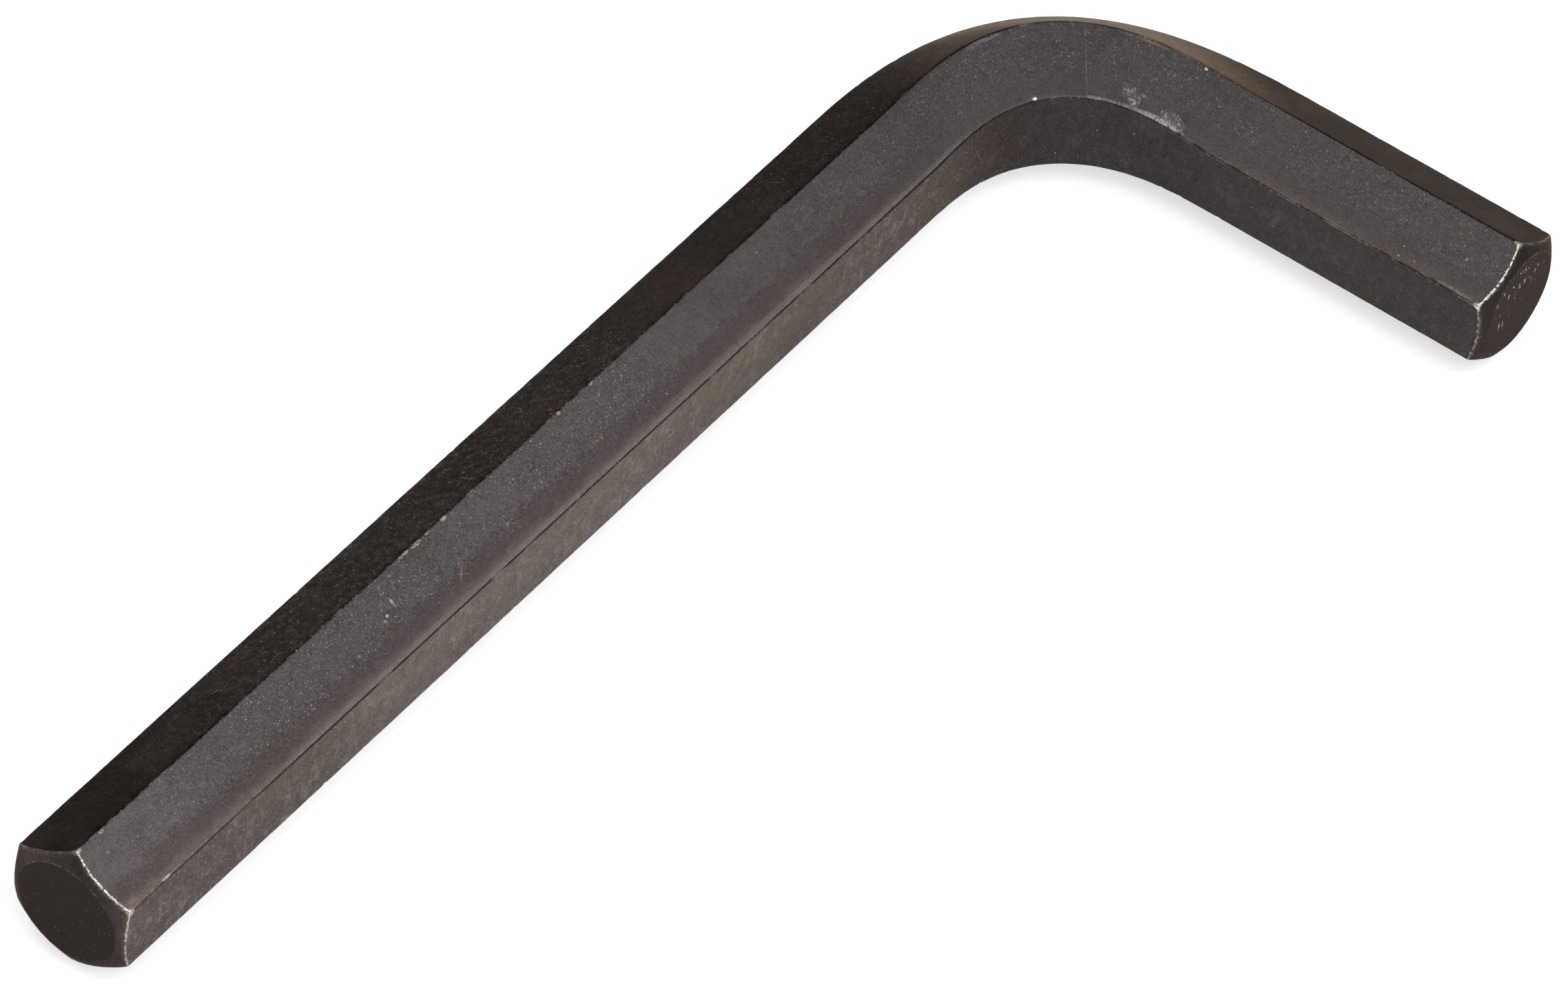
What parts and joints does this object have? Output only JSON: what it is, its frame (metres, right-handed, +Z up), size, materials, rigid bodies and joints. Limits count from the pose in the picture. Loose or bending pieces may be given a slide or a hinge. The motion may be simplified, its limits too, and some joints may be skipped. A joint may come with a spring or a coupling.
{
  "type": "hex key",
  "caption": "L-shaped hex key bent from black oxide hexagonal steel bar, with chamfered ends and worn bright edges, lying flat.",
  "frame": {"origin": "centre of the bounding box in plan, on the surface that the key lies on", "axes": "+X runs from the long arm's end towards the bend, -Y from the bend towards the short arm's end, +Z up"},
  "size_m": [0.122, 0.05, 0.012],
  "materials": {
    "black_oxide_steel": "black oxide, satin, with a fine sandy speckle and bright wear on the end edges"
  },
  "bodies": {
    "root": {"hex_key": "black_oxide_steel"}
  },
  "joints": []
}
